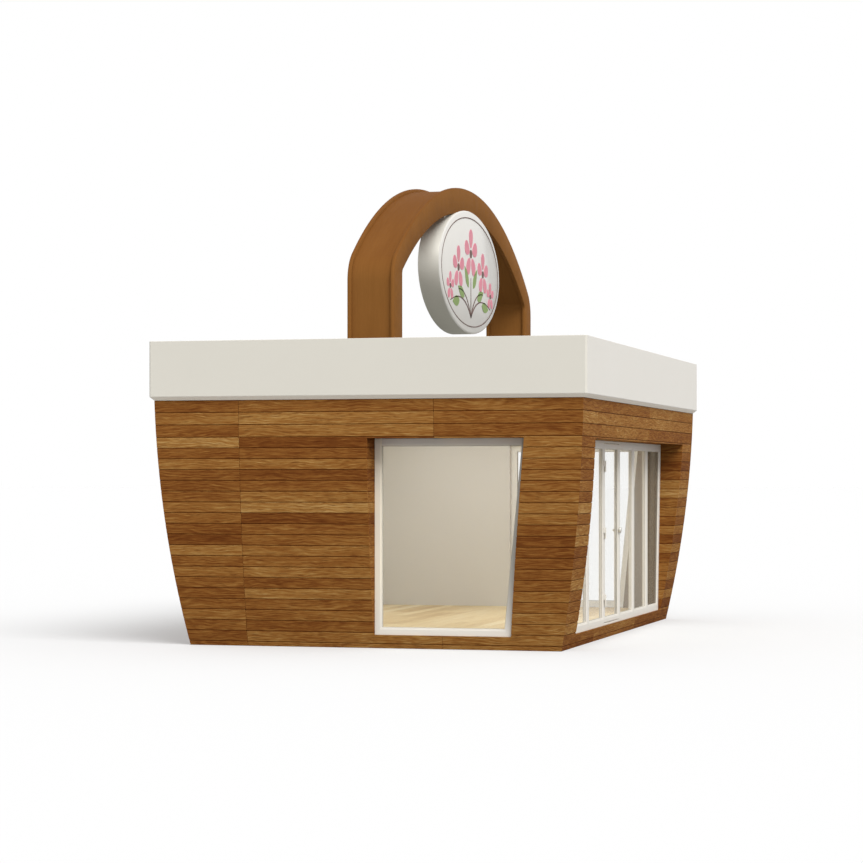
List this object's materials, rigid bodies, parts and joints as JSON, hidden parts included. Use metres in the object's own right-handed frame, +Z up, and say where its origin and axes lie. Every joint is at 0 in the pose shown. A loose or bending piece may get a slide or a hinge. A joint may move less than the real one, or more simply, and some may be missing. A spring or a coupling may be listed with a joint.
{
  "type": "prefabricated pavilion",
  "caption": "Timber-clad kiosk pavilion shaped like a basket: curved tapering walls, white planter box roof, arched handle with oval sign box, glazed side screen with a hinged door.",
  "frame": {"origin": "on the ground under the middle of the plan", "axes": "+X towards the glazed screen with the door, +Y towards the back, +Z up; the window end is the front at -Y"},
  "size_m": [4.8, 6.8, 5.1948],
  "materials": {
    "cladding": "oiled oak boards, horizontal",
    "handle_timber": "stained timber",
    "planter_white": "satin warm white",
    "planter_inside": "satin warm white",
    "joinery_white": "satin white",
    "glazing": "clear",
    "lining_board": "cream lining board",
    "ceiling_board": "white lining board",
    "floor_timber": "pale boards",
    "chassis": "grey floor cassette",
    "membrane": "grey roofing membrane",
    "ironmongery": "satin",
    "sign_case": "satin light grey",
    "sign_acrylic": "opal panel"
  },
  "bodies": {
    "pavilion": {"floor_base": "chassis", "floor_boards": "floor_timber", "front_wall_left": "cladding", "front_wall_right": "cladding", "front_header": "cladding", "front_sill": "cladding", "back_wall_left": "cladding", "back_wall_right": "cladding", "back_header": "cladding", "back_sill": "cladding", "right_wall_front": "cladding", "right_wall_back": "cladding", "right_header": "cladding", "right_sill": "cladding", "left_wall": "cladding", "front_lining": "lining_board", "back_lining": "lining_board", "right_lining": "lining_board", "left_lining": "lining_board", "ceiling": "ceiling_board", "front_window_frame": "joinery_white", "back_window_frame": "joinery_white", "screen_frame": "joinery_white", "screen_leaves_front": "joinery_white", "screen_leaves_back": "joinery_white", "front_window_glass": "glazing", "back_window_glass": "glazing", "screen_glass_front": "glazing", "screen_glass_back": "glazing", "frame_hinges": "ironmongery", "roof_deck": "membrane", "fascia_front": "planter_white", "fascia_back": "planter_white", "fascia_left": "planter_white", "fascia_right": "planter_white", "planter_boards_ends": "planter_inside", "planter_boards_sides": "planter_inside", "handle_band": "handle_timber", "handle_cheek_right": "handle_timber", "handle_cheek_left": "handle_timber", "sign_box": "sign_case", "sign_panel": "sign_acrylic", "sign_brackets": "ironmongery"},
    "door": {"door_leaf": "joinery_white", "door_glass": "glazing", "door_knob": "ironmongery", "door_hinges": "ironmongery"}
  },
  "joints": [
    {"name": "door_hinge", "type": "hinge", "parent": "pavilion", "child": "door", "pos_m": [2.0714, -0.8612, 1.2], "axis": [0, 0, -1], "range_deg": [0, 95]}
  ]
}
